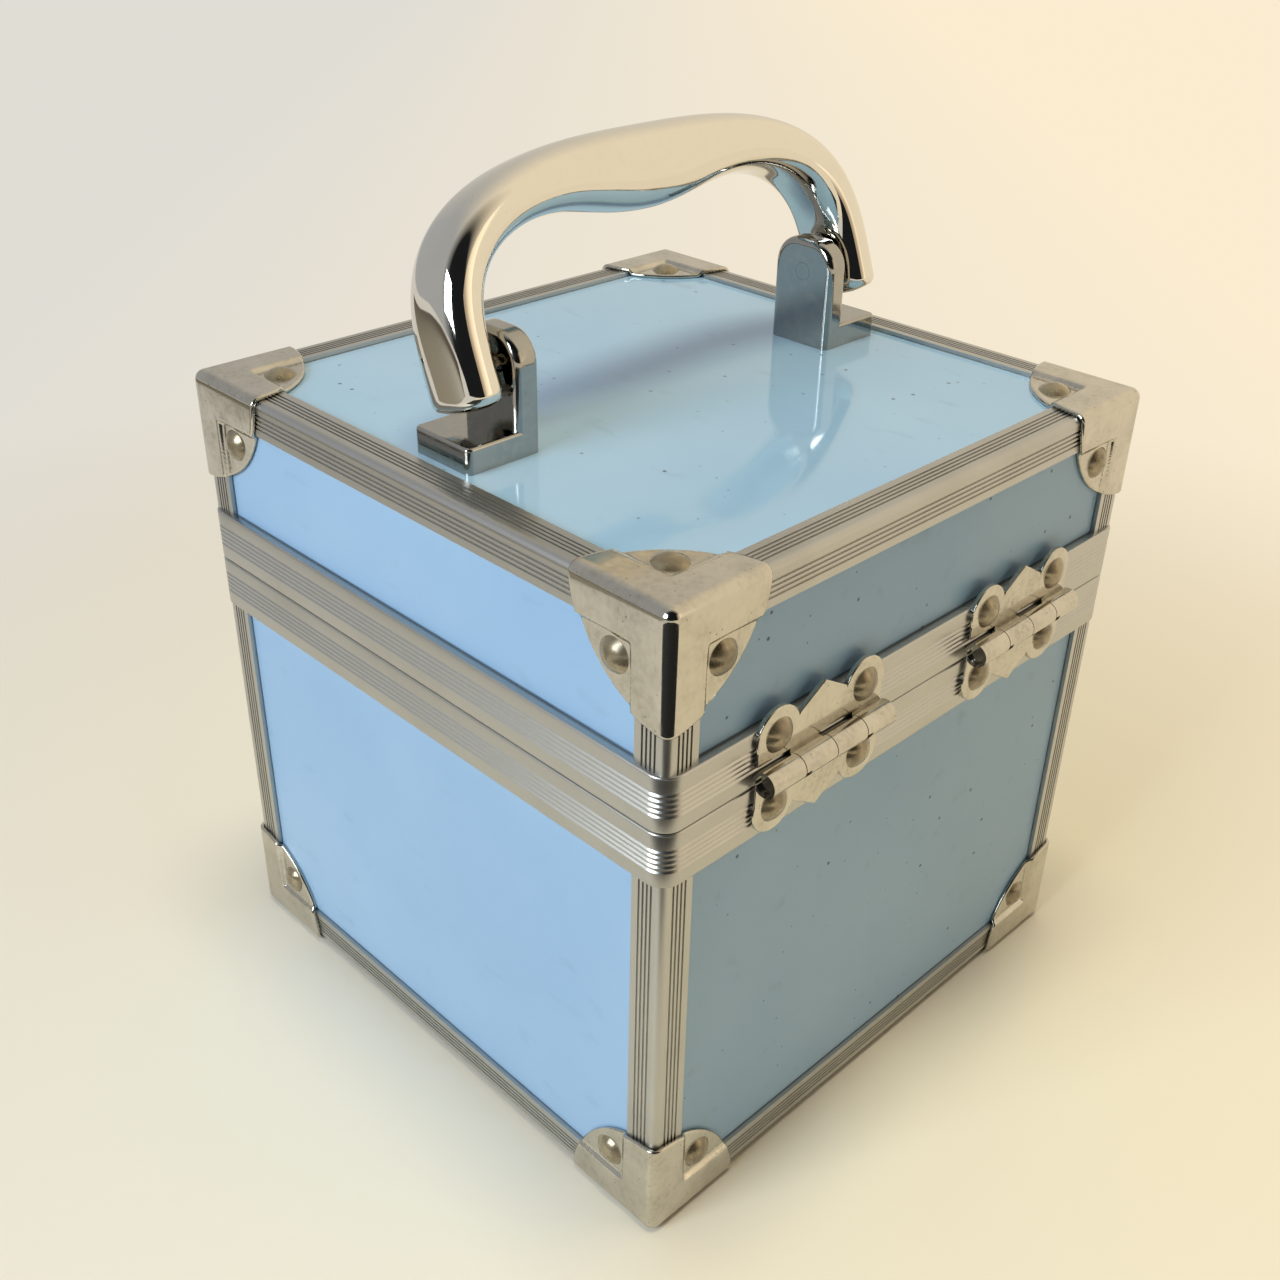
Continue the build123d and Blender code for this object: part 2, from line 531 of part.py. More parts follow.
def latch():
    """Hasp on the lid's front band and the catch below it, drawn at the rear and turned to the front."""
    seat = (HALF_Y, HALF_Y + SHEET)
    axis_y, axis_z = seat[1] + HASP_PIVOT_OUT, SEAM_Z + HASP_PIVOT_RISE
    half, wide = HASP_KNUCKLE / 2, HASP_WIDTH / 2
    hole = rod_x(HASP_PIN_RADIUS + RUN_FIT, (-wide, wide), axis_y, axis_z)
    top, below = (Align.CENTER, Align.MIN), (Align.CENTER, Align.MAX)

    outline = RectangleRounded(LATCH_PLATE_WIDTH, LATCH_PLATE_TOP - LATCH_SEAM_GAP, LATCH_ROUND, align=top)
    plate = pressed_plate(Pos(0, SEAM_Z + LATCH_SEAM_GAP) * outline, seat)
    for low in (-wide, half):
        plate += rod_x(HASP_BARREL, (low, low + wide - half), axis_y, axis_z)
    plate -= rod_x(HASP_BARREL + KNUCKLE_GAP, (-half, half), axis_y, axis_z)

    flap_top = HASP_BARREL + 2 * KNUCKLE_GAP
    flap = RectangleRounded(HASP_WIDTH, HASP_DROP - flap_top, HASP_ROUND, align=below)
    outline = Pos(0, -flap_top) * flap
    outline += Rectangle(HASP_KNUCKLE - 2 * KNUCKLE_GAP, 2 * flap_top, align=below)
    window = Rectangle(NOSE_WIDTH + 2 * NOSE_CLEARANCE, NOSE_HEIGHT + 4 * NOSE_CLEARANCE)
    outline -= Pos(0, -HASP_PIVOT_RISE - NOSE_DROP) * window
    hasp = pressed_plate(Pos(0, axis_z) * outline, (axis_y, axis_y + HASP_SHEET))
    hasp += rod_x(HASP_BARREL, (KNUCKLE_GAP - half, half - KNUCKLE_GAP), axis_y, axis_z)

    outline = RectangleRounded(CATCH_WIDTH, CATCH_BOTTOM - LATCH_SEAM_GAP, LATCH_ROUND, align=below)
    catch = pressed_plate(Pos(0, SEAM_Z - LATCH_SEAM_GAP) * outline, seat)
    nose_z = SEAM_Z - NOSE_DROP
    nose = block((-NOSE_WIDTH / 2, NOSE_WIDTH / 2), (seat[0], seat[1] + NOSE_REACH),
                 (nose_z - NOSE_HEIGHT / 2, nose_z + NOSE_HEIGHT / 2))
    catch += fillet(nose.faces().sort_by(Axis.Y)[-1].edges().filter_by(Axis.X), NOSE_ROUND)

    head = Rot(-90, 0, 0) * rivet(LATCH_RIVET_RADIUS, LATCH_RIVET_HEIGHT)
    swing = Axis((0, axis_y, axis_z), (1, 0, 0))
    found = {
        "latch_plate": mirror_y(plate - hole),
        "hasp": mirror_y((hasp - hole).rotate(swing, HASP_LIFT)),
        "hasp_pin": mirror_y(rod_x(HASP_PIN_RADIUS, (-wide, wide), axis_y, axis_z)),
        "catch_plate": mirror_y(catch),
    }
    for shell, off in (("lid", LATCH_RIVET_OFF), ("base", -LATCH_RIVET_OFF)):
        heads = [Pos(x, seat[1], SEAM_Z + off) * head for x in (-LATCH_RIVET_X, LATCH_RIVET_X)]
        found[f"{shell}_latch_rivets"] = Compound(children=[mirror_y(shape) for shape in heads])
    return found


def arm_point(end, share):
    """Point on an arm's centre line, as a share of ARM_RADIUS from its base pivot."""
    y, z = ARM_PIVOT[end]
    return y + share * REACH[0], z + share * REACH[1]


def arm(end):
    """Flat arm on the +X side: the long rear one carries both trays, the short front one the lower."""
    far = ARM_HOLES[end][-1]
    slot = SlotCenterToCenter(far * ARM_RADIUS, ARM_WIDTH)
    outline = Pos(*arm_point(end, far / 2)) * Rot(0, 0, LIFT_ANGLE) * slot
    for share in ARM_HOLES[end]:
        outline -= Pos(*arm_point(end, share)) * Circle(PIVOT_PIN_RADIUS + RUN_FIT)
    return plate_yz(outline, (ARM_IN_X, ARM_OUT_X))


def arm_pin(end):
    """Pin on the +X wall: a flange on the board, a shaft through the arm and a thin head."""
    y, z = arm_point(end, 0)
    pin = rod_x(PIVOT_FLANGE_RADIUS, (ARM_OUT_X + LIFT_GAP, INSIDE_X), y, z)
    pin += rod_x(PIVOT_PIN_RADIUS, (PIN_HEAD_IN_X, INSIDE_X), y, z)
    return pin + rod_x(PIN_HEAD_RADIUS, (PIN_HEAD_IN_X, ARM_IN_X - LIFT_GAP), y, z)


def tray_pin(point, inner_x, collar_x, outer_x):
    """Pin fixed in a tray's wall, with a collar up to the piece that it carries."""
    pin = rod_x(PIVOT_PIN_RADIUS, (inner_x, outer_x), *point)
    return pin + rod_x(COLLAR_RADIUS, (inner_x, collar_x), *point)


def lid_strip():
    """Folded strip from the lid's side board down to the upper tray's rear pivot."""
    y, z = STRIP_PIVOT
    half = STRIP_WIDTH / 2
    fold_z = SEAM_Z + STRIP_TOP - STRIP_FOOT
    outline = Pos(y, z) * Circle(half) + Pos(y, z) * Rectangle(
        STRIP_WIDTH, fold_z + STRIP_SHEET - z, align=(Align.CENTER, Align.MIN))
    outline -= Pos(y, z) * Circle(PIVOT_PIN_RADIUS + RUN_FIT)
    strip = plate_yz(outline, (STRIP_IN_X, STRIP_OUT_X))
    span_y = (y - half, y + half)
    strip += block((STRIP_IN_X, INSIDE_X), span_y, (fold_z, fold_z + STRIP_SHEET))
    return strip + block((INSIDE_X - STRIP_SHEET, INSIDE_X), span_y, (fold_z, fold_z + STRIP_FOOT))


def tray(half_x, low, high, dividers_x):
    """Moulded tray with rounded corners, one wall along X and cross walls behind it at dividers_x."""
    depth, middle = TRAY_REAR_Y - TRAY_FRONT_Y, (TRAY_REAR_Y + TRAY_FRONT_Y) / 2
    outer = extrude(RectangleRounded(2 * half_x, depth, TRAY_ROUND), high - low)
    outer = fillet(outer.edges().group_by(Axis.Z)[0], TRAY_FOOT_ROUND)
    hollow = RectangleRounded(2 * (half_x - TRAY_WALL), depth - 2 * TRAY_WALL, TRAY_ROUND - TRAY_WALL)
    hollow = extrude(hollow, high - low)
    shell = outer - Pos(0, 0, TRAY_WALL) * fillet(hollow.edges().group_by(Axis.Z)[0], TRAY_LIP_ROUND)
    shell = fillet(shell.edges().group_by(Axis.Z)[-1], TRAY_LIP_ROUND)
    shell = Pos(0, middle, low) * shell
    inside_x, top = half_x - TRAY_WALL / 2, high - DIVIDER_DROP
    floor, rear_y = low + TRAY_WALL / 2, TRAY_REAR_Y - TRAY_WALL / 2
    split_y = (TRAY_SPLIT_Y - DIVIDER / 2, TRAY_SPLIT_Y + DIVIDER / 2)
    shell += block((-inside_x, inside_x), split_y, (floor, top))
    for x in dividers_x:
        shell += block((x - DIVIDER / 2, x + DIVIDER / 2), (TRAY_SPLIT_Y, rear_y), (floor, top))
    return shell


def tray_lift():
    """Arms, strips, hangers, pins and both trays."""
    upper_high = SEAM_Z - UPPER_TRAY_DROP
    upper_low = upper_high - TRAY_HEIGHT
    lower_high = upper_low - TRAY_STACK_GAP
    lower_low = lower_high - TRAY_HEIGHT
    upper = tray(UPPER_TRAY_X, upper_low, upper_high, (-UPPER_TRAY_X / 3, UPPER_TRAY_X / 3))
    lower = tray(LOWER_TRAY_X, lower_low, lower_high, (0,))
    hung, carried = arm_point("rear", LOWER_SHARE), arm_point("rear", 1)
    foot = lower_high - HANGER_LAP
    outline = Pos(*hung) * Circle(HANGER_WIDTH / 2) + Pos(hung[0], foot) * Rectangle(
        HANGER_WIDTH, hung[1] - foot, align=(Align.CENTER, Align.MIN))
    hanger = plate_yz(outline - Pos(*hung) * Circle(PIVOT_PIN_RADIUS), (LOWER_TRAY_X, HANGER_OUT_X))
    collar = ARM_IN_X - LIFT_GAP
    front_pin = tray_pin(arm_point("front", LOWER_SHARE), LOWER_TRAY_X, collar, ARM_OUT_X)
    hanger_pin = rod_x(PIVOT_PIN_RADIUS, (LOWER_TRAY_X, ARM_OUT_X), *hung)
    hanger_pin += rod_x(COLLAR_RADIUS, (HANGER_OUT_X, collar), *hung)
    groups = {
        "lower_tray_hangers": [hanger],
        "lower_tray_pins": [hanger_pin, front_pin],
        "upper_tray_pins": [tray_pin(carried, UPPER_TRAY_X, collar, ARM_OUT_X),
                            tray_pin(STRIP_PIVOT, UPPER_TRAY_X, STRIP_IN_X - LIFT_GAP, STRIP_OUT_X)],
        "arm_pins": [arm_pin(end) for end in ARM_PIVOT],
    }
    found = {"upper_tray": upper, "lower_tray": lower}
    for name, sign in SIDES.items():
        found |= {f"{end}_arm_{name}": on_side(arm(end), sign) for end in ARM_PIVOT}
    for name, shapes in groups.items():
        found[name] = Compound(children=shapes + [mirror_x(shape) for shape in shapes])
    for name, sign in SIDES.items():
        found[f"lid_strip_{name}"] = on_side(lid_strip(), sign)
    return found


def soft_sheets():
    x, y = INSIDE_X - MAT_GAP, INSIDE_Y - MAT_GAP
    return {
        "base_mat": block((-x, x), (-y, y), (FLOOR_HIGH, FLOOR_HIGH + MAT)),
        "lid_pad": block((-x, x), (-y, y), (TOP_LOW - PAD, TOP_LOW)),
    }


def build():
    rim = base_rim()
    nodes = panels() | edge_angles() | caps_and_rivets() | hinges() | handle() | latch()
    nodes |= tray_lift() | soft_sheets()
    nodes["base_rim"] = rim
    nodes["lid_rim"] = mirror(rim, about=Plane.XY.offset(SEAM_Z))
    return nodes


if __name__ == "__main__":
    os.makedirs("parts", exist_ok=True)
    for node, shape in build().items():
        export_step(shape, f"parts/{node}.step")
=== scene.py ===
"""Looks of a small blue sewing box with an aluminium frame, corner caps and a chromed bow handle.

Lengths are written in millimetres and turned into metres where they enter a mesh. +Z is up, X runs
along the hinge line and +Y is the rear, where the hinges are.
"""
from __future__ import annotations

import logging
import math
from dataclasses import dataclass, field
from enum import Enum
from typing import Any

import bmesh
import bpy
import numpy as np
from mathutils import Matrix, Vector

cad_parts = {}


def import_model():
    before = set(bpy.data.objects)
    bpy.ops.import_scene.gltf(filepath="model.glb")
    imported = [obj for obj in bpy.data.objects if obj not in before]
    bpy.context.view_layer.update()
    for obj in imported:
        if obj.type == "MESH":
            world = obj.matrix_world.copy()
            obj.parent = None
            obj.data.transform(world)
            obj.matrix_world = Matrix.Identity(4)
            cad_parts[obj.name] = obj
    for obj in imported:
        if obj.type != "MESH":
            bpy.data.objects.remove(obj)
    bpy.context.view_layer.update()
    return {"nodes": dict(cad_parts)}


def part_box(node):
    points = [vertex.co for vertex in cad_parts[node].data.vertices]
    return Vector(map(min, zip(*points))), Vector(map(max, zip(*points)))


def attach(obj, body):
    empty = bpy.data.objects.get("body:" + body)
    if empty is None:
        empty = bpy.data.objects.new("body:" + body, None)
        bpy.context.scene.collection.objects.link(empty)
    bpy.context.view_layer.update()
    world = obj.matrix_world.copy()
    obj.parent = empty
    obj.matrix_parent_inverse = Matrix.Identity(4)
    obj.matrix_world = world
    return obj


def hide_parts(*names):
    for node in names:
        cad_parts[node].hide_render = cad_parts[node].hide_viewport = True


LOG = logging.getLogger("sewing_box")
MM = 0.001
IMAGE = 1280
SENSOR = 36.0

Array = np.ndarray
Colour = tuple[float, float, float, float]


def srgb(code: str) -> Colour:
    """A colour from its hexadecimal screen code, as linear light.

    Args:
        code: six hexadecimal digits, red, green and blue.
    Returns:
        Red, green, blue and an alpha of 1.
    """
    parts = np.array([int(code[i:i + 2], 16) for i in (0, 2, 4)]) / 255
    linear = np.where(parts <= 0.04045, parts / 12.92, ((parts + 0.055) / 1.055) ** 2.4)
    return (*(float(v) for v in linear), 1.0)


class Wire:
    """An output of a shader graph. Its operators add Math nodes."""

    def __init__(self, graph: Graph, socket: bpy.types.NodeSocket) -> None:
        """Keeps the graph and the socket."""
        self.graph = graph
        self.socket = socket

    def math(self, operation: str, first: Any, second: Any = None) -> Wire:
        """A Math node on one or two values or wires."""
        return self.graph.node("ShaderNodeMath", {"operation": operation}, {0: first, 1: second})

    def __add__(self, other: Any) -> Wire:
        """Sum."""
        return self.math("ADD", self, other)

    __radd__ = __add__

    def __sub__(self, other: Any) -> Wire:
        """Difference."""
        return self.math("SUBTRACT", self, other)

    def __rsub__(self, other: Any) -> Wire:
        """Difference from a number."""
        return self.math("SUBTRACT", other, self)

    def __mul__(self, other: Any) -> Wire:
        """Product."""
        return self.math("MULTIPLY", self, other)

    __rmul__ = __mul__

    def __abs__(self) -> Wire:
        """Size without sign."""
        return self.math("ABSOLUTE", self)

    def __gt__(self, other: Any) -> Wire:
        """1 where this is larger, else 0."""
        return self.math("GREATER_THAN", self, other)

    def between(self, low: float, high: float) -> Wire:
        """0 at low and 1 at high, straight between them and held outside."""
        inputs = {"Value": self, "From Min": low, "From Max": high}
        return self.graph.node("ShaderNodeMapRange", {"clamp": True}, inputs)


class Graph:
    """The shader graph of one material, or of the world."""

    def __init__(self, name: str, world: bpy.types.World | None = None) -> None:
        """Starts an empty graph, of a new material or of a world.

        Args:
            name: the material's name.
            world: the world whose graph this is, if any. Its place is the way looked. A material's
                place is its Object coordinates.
        """
        self.material = None if world else bpy.data.materials.new(name)
        owner = world or self.material
        owner.use_nodes = True
        self.tree = owner.node_tree
        self.tree.nodes.clear()
        self.place = self.node("ShaderNodeTexCoord", output="Generated" if world else "Object")

    def node(self, kind: str, settings: dict[str, Any] | None = None,
             inputs: dict[str | int, Any] | None = None, output: str | int = 0) -> Wire:
        """Adds a node.

        Args:
            kind: the node's type.
            settings: its own properties, set first.
            inputs: values or wires of its sockets, by name or number.
            output: the socket that the wire leaves by.
        Returns:
            The wire from that output.
        """
        made = self.tree.nodes.new(kind)
        for name, value in (settings or {}).items():
            setattr(made, name, value)
        for key, value in (inputs or {}).items():
            if isinstance(value, Wire):
                self.tree.links.new(value.socket, made.inputs[key])
            elif value is not None:
                made.inputs[key].default_value = value
        return Wire(self, made.outputs[output])

    def axis(self, letter: str) -> Wire:
        """One of the Object coordinates, in metres."""
        return self.node("ShaderNodeSeparateXYZ", None, {0: self.place}, letter)

    def stretched(self, by: tuple[float, float, float]) -> Wire:
        """The Object coordinates, each multiplied by its own factor."""
        return self.node("ShaderNodeVectorMath", {"operation": "MULTIPLY"}, {0: self.place, 1: by})

    def along(self, way: tuple[float, float, float]) -> Wire:
        """How far the place lies along a way: their dot product."""
        inputs = {0: self.place, 1: way}
        return self.node("ShaderNodeVectorMath", {"operation": "DOT_PRODUCT"}, inputs, "Value")

    def noise(self, size: float, detail: float = 3.0, by: tuple[float, float, float] = (1, 1, 1)) -> Wire:
        """Cloudy noise from 0 to 1 with features of about the given size in millimetres."""
        inputs = {"Vector": self.stretched(by), "Scale": 1 / (size * MM), "Detail": detail}
        return self.node("ShaderNodeTexNoise", None, inputs)

    def specks(self, pitch: float, radius: float, share: float) -> Wire:
        """Scattered dots: 1 inside a dot and 0 elsewhere.

        Args:
            pitch: mean distance of the places where a dot may be, in millimetres.
            radius: size of a dot in millimetres.
            share: how many of the places hold a dot, from 0 to 1.
        Returns:
            The mask.
        """
        inputs = {"Vector": self.place, "Scale": 1 / (pitch * MM)}
        far = self.node("ShaderNodeTexVoronoi", None, inputs, "Distance")
        cell = self.node("ShaderNodeTexVoronoi", None, inputs, "Color")
        chance = self.node("ShaderNodeSeparateColor", None, {0: cell}, "Red")
        soft = radius / pitch
        return (1 - far.between(0.5 * soft, soft)) * (chance > (1 - share))

    def blend(self, share: Any, first: Any, second: Any) -> Wire:
        """A colour between two, with share of the second."""
        return self.node("ShaderNodeMix", {"data_type": "RGBA"}, {0: share, 6: first, 7: second}, 2)

    def bump(self, height: Wire, depth: float) -> Wire:
        """A normal from a height of 0 to 1 that stands for depth millimetres."""
        inputs = {"Height": height, "Strength": 1.0, "Distance": depth * MM}
        return self.node("ShaderNodeBump", None, inputs)

    def ray(self, kind: str) -> Wire:
        """1 for rays of a kind, such as Camera or Glossy, and 0 for others."""
        return self.node("ShaderNodeLightPath", output=f"Is {kind} Ray")

    def looked_at(self) -> Wire:
        """1 for rays from the camera, a mirror or glass, and 0 for rays that carry diffuse light."""
        return (self.ray("Camera") + self.ray("Glossy") + self.ray("Transmission")).between(0, 1)

    def close(self, **sockets: Any) -> bpy.types.Material:
        """Ends the graph in a Principled shader.

        Args:
            sockets: its inputs, with _ for the spaces in their names.
        Returns:
            The material.
        """
        inputs = {name.replace("_", " "): value for name, value in sockets.items()}
        shader = self.node("ShaderNodeBsdfPrincipled", None, inputs)
        return self.end(shader, "ShaderNodeOutputMaterial")

    def end(self, shader: Wire, kind: str) -> bpy.types.Material | None:
        """Joins a shader to an output node of the given type and returns the material."""
        output = self.tree.nodes.new(kind)
        self.tree.links.new(shader.socket, output.inputs["Surface"])
        return self.material


class Grain(Enum):
    """Way that the fine lines of drawn aluminium run."""

    LEVEL = "round the box"
    UPRIGHT = "along a post"
    EDGE = "along a level edge"


@dataclass(frozen=True)
class Laminate:
    """Glossy coloured laminate with dark specks, rubbed places and painted shade lines where the frame and
    the bands begin.

    Specks are given by their pitch, radius and share, as Graph.specks takes them.
    """

    colour: Colour = srgb("90B5D9")
    pale: Colour = srgb("9ABDDE")
    speck_and_shade: Colour = srgb("33444F")
    gloss: float = 0.055
    side_gloss: float = 0.32
    top_low: float = 148.0
    # Where the painted shade lines lie, and how wide they are, in millimetres.
    frame_edge: float = 66.0
    low_edge: float = 9.0
    high_edge: float = 143.0
    bands: tuple[float, float] = (93.9, 118.5)
    line: float = 0.5
    band_line: float = 0.65
    line_core: float = 0.4
    large_specks: tuple[float, float, float] = (6.0, 0.55, 0.5)
    small_specks: tuple[float, float, float] = (3.4, 0.26, 0.35)
    speck_weight: float = 0.9
    join_shade_weight: float = 0.85
    rub_weight: float = 0.16
    dirt_and_shade_rough: float = 0.3
    haze_rough: float = 0.09
    wave_depth: float = 0.06

    def darkening(self, graph: Graph) -> Wire:
        """Painted shade: 1 where the laminate goes under the frame or a band, fading out over the line's
        width.
        """
        height = graph.axis("Z")
        lines = [(abs(graph.axis(letter)), self.frame_edge, self.line) for letter in "XY"]
        lines += [(height, edge, self.line) for edge in (self.low_edge, self.high_edge)]
        lines += [(height, edge, self.band_line) for edge in self.bands]
        masks = [1 - abs(place - edge * MM).between(self.line_core * wide * MM, wide * MM)
                 for place, edge, wide in lines]
        return sum(masks[1:], masks[0]).between(0, 1)

    def material(self) -> bpy.types.Material:
        """The laminate's shader."""
        graph = Graph("blue_laminate")
        tone = graph.blend(graph.noise(60, 4).between(0.35, 0.7), self.colour, self.pale)
        dots = (graph.specks(*self.large_specks) + graph.specks(*self.small_specks)).between(0, 1)
        rubbed = graph.noise(6, 5, (1.0, 0.4, 1.0)).between(0.62, 0.8) * self.rub_weight
        # Specks and rubbed places are wear; the lines where the frame and the bands begin are painted shade.
        dirt_and_join_shade = (self.speck_weight * dots + self.join_shade_weight * self.darkening(graph) + rubbed).between(0, 1)
        tone = graph.blend(dirt_and_join_shade, tone, self.speck_and_shade)
        below = 1 - (graph.axis("Z") > self.top_low * MM)
        rough = self.gloss + (self.side_gloss - self.gloss) * below + self.dirt_and_shade_rough * dirt_and_join_shade
        rough = rough + self.haze_rough * graph.noise(22, 5).between(0.45, 0.8)
        wave = graph.bump(graph.noise(45, 2), self.wave_depth)
        return graph.close(Base_Color=tone, Roughness=rough, Normal=wave, Specular_IOR_Level=0.6)


@dataclass(frozen=True)
class SatinAluminium:
    """Satin drawn aluminium with fine lines along its run and a little grime."""

    grain: Grain
    colour: Colour = srgb("BFBEBA")
    darkening: Colour = srgb("8A8274")
    rough: float = 0.29
    line_size: float = 0.5
    stretch: float = 0.012

    def lines(self, graph: Graph) -> Wire:
        """Fine lines along the run, from 0 to 1."""
        fine, long = 1.0, self.stretch
        if self.grain is Grain.LEVEL:
            return graph.noise(self.line_size, 2, (long, long, fine))
        if self.grain is Grain.UPRIGHT:
            return graph.noise(self.line_size, 2, (fine, fine, long))
        along_y = abs(graph.axis("X")) > abs(graph.axis("Y"))
        on_y = graph.noise(self.line_size, 2, (fine, long, fine))
        on_x = graph.noise(self.line_size, 2, (long, fine, fine))
        return along_y * on_y + (1 - along_y) * on_x

    def material(self) -> bpy.types.Material:
        """The aluminium's shader."""
        graph = Graph("satin_aluminium_" + self.grain.name.lower())
        lines = self.lines(graph)
        stain = graph.noise(18, 4).between(0.5, 0.85)
        tone = graph.blend(stain * 0.16 + 0.06 * lines, self.colour, self.darkening)
        tone = graph.blend(graph.specks(6, 0.22, 0.25) * 0.7, tone, self.darkening)
        rough = self.rough + 0.04 * lines + 0.05 * stain
        return graph.close(Base_Color=tone, Roughness=rough, Metallic=1.0, Normal=graph.bump(stain, 0.004))


@dataclass(frozen=True)
class AgedNickel:
    """Nickel-plated sheet steel: polished, mottled by handling and lightly pitted."""

    colour: Colour = srgb("CDC8BC")
    stain: Colour = srgb("7A766C")
    pit: Colour = srgb("4A4236")
    gloss: float = 0.08

    def material(self) -> bpy.types.Material:
        """The nickel's shader."""
        graph = Graph("aged_nickel")
        mottle = graph.noise(1.2, 6).between(0.42, 0.70)
        patch = graph.noise(8, 5).between(0.38, 0.66)
        rubbed = graph.noise(0.7, 2, (1.0, 1.0, 0.08)).between(0.6, 0.75)
        pits = graph.specks(1.5, 0.2, 0.4)
        stained = patch * 0.18 + mottle * (0.08 + 0.16 * patch) + rubbed * 0.1
        tone = graph.blend(stained, self.colour, self.stain)
        tone = graph.blend(pits * 0.7, tone, self.pit)
        rough = self.gloss + 0.08 * mottle * patch + 0.07 * patch + 0.05 * rubbed + 0.2 * pits
        height = patch * 0.7 + mottle * 0.1 - pits * 0.4
        return graph.close(Base_Color=tone, Roughness=rough, Metallic=1.0, Normal=graph.bump(height, 0.01))


@dataclass(frozen=True)
class Chrome:
    """Mirror chrome with faint wipe marks, and pits where it is worn."""

    name: str
    pitted: float
    colour: Colour
    film: Colour = srgb("C4BCAC")
    pit: Colour = srgb("5A5041")

    def material(self) -> bpy.types.Material:
        """The chrome's shader."""
        graph = Graph(self.name)
        wipe = graph.noise(12, 5, (0.4, 1.0, 1.0)).between(0.45, 0.8)
        worn = graph.noise(4, 5).between(0.55, 0.75)
        pits = graph.specks(1.5, 0.3, 0.6) * worn * self.pitted
        haze = graph.noise(2.2, 6).between(0.45, 0.7) * self.pitted
        tone = graph.blend(wipe * 0.12 + haze * 0.3, self.colour, self.film)
        tone = graph.blend(pits, tone, self.pit)
        rough = 0.035 + 0.06 * wipe + 0.14 * haze + 0.35 * pits
        return graph.close(Base_Color=tone, Roughness=rough, Metallic=1.0, Normal=graph.bump(pits, 0.03))


@dataclass(frozen=True)
class TarnishedRivet:
    """Domed rivet heads, once bright and now brown-grey in patches."""

    bright: Colour = srgb("A09378")
    dull: Colour = srgb("4E4332")

    def material(self) -> bpy.types.Material:
        """The rivets' shader."""
        graph = Graph("tarnished_rivet")
        patch = graph.noise(2.4, 6).between(0.36, 0.66)
        tone = graph.blend(patch * 0.6, self.bright, self.dull)
        metal = 0.8 - 0.3 * patch
        rough = 0.22 + 0.13 * patch
        return graph.close(Base_Color=tone, Roughness=rough, Metallic=metal, Normal=graph.bump(patch, 0.005),
                           Coat_Weight=0.6, Coat_Roughness=0.14)


@dataclass(frozen=True)
class TrayPlastic:
    """White moulded plastic with a faint orange-peel skin."""

    colour: Colour = srgb("E9E9E6")
    shade: Colour = srgb("DDDEDB")

    def material(self) -> bpy.types.Material:
        """The plastic's shader."""
        graph = Graph("tray_plastic")
        skin = graph.noise(0.7, 3)
        tone = graph.blend(graph.noise(25, 4).between(0.4, 0.8) * 0.5, self.colour, self.shade)
        rough = 0.32 + 0.10 * graph.noise(9, 4)
        return graph.close(Base_Color=tone, Roughness=rough, Normal=graph.bump(skin, 0.015))


@dataclass(frozen=True)
class LiftSteel:
    """Zinc-plated strip with a crystalline bloom."""

    colour: Colour = srgb("C9CBCC")
    dull: Colour = srgb("97999B")

    def material(self) -> bpy.types.Material:
        """The zinc's shader."""
        graph = Graph("lift_steel")
        bloom = graph.noise(2.5, 4).between(0.4, 0.7)
        tone = graph.blend(bloom * 0.5, self.colour, self.dull)
        return graph.close(Base_Color=tone, Roughness=0.26 + 0.16 * bloom, Metallic=1.0,
                           Normal=graph.bump(bloom, 0.01))


@dataclass(frozen=True)
class Felt:
    """Dark pressed felt."""

    colour: Colour = srgb("2A3440")
    pale: Colour = srgb("45525F")

    def material(self) -> bpy.types.Material:
        """The felt's shader."""
        graph = Graph("dark_felt")
        fuzz = graph.noise(0.8, 6)
        fibre = graph.noise(0.35, 4, (1.0, 0.3, 1.0))
        tone = graph.blend(fuzz.between(0.35, 0.75), self.colour, self.pale)
        rough = 0.9 + 0.1 * fibre
        nap = graph.bump(fuzz * 0.6 + fibre * 0.4, 0.25)
        return graph.close(Base_Color=tone, Roughness=rough, Normal=nap, Sheen_Weight=0.4)


def make_piece(name: str, points: Array, faces: Array | list[tuple[int, ...]], material: bpy.types.Material,
               merge: float = 0.0, crease: float = 0.0) -> bpy.types.Object:
    """Puts points and faces into a new smooth-shaded mesh object at the origin.

    Args:
        name: the piece's name.
        points: an n by 3 array in millimetres.
        faces: rows of point numbers.
        material: the finish.
        merge: distance in millimetres within which points become one.
        crease: angle in degrees from which an edge stays sharp, or 0 for none.
    Returns:
        The object.
    """
    mesh = bpy.data.meshes.new(name)
    rows = faces.tolist() if isinstance(faces, np.ndarray) else faces
    mesh.from_pydata((points * MM).tolist(), [], rows)
    if merge:
        work = bmesh.new()
        work.from_mesh(mesh)
        bmesh.ops.remove_doubles(work, verts=work.verts, dist=merge * MM)
        bmesh.ops.dissolve_degenerate(work, edges=work.edges, dist=merge * MM)
        bmesh.ops.recalc_face_normals(work, faces=work.faces)
        work.to_mesh(mesh)
        work.free()
    mesh.validate()
    mesh.polygons.foreach_set("use_smooth", [True] * len(mesh.polygons))
    if crease:
        mesh.set_sharp_from_angle(angle=math.radians(crease))
    mesh.materials.append(material)
    piece = bpy.data.objects.new(name, mesh)
    bpy.context.scene.collection.objects.link(piece)
    return piece


def seated(piece: bpy.types.Object, body: str, node: str) -> bpy.types.Object:
    """Sets a piece on its body in place of a CAD node, which it hides.

    Args:
        piece: the new piece.
        body: the body that it moves with.
        node: the CAD node that it stands for.
    Returns:
        The piece.
    """
    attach(piece, body)
    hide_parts(node)
    return piece


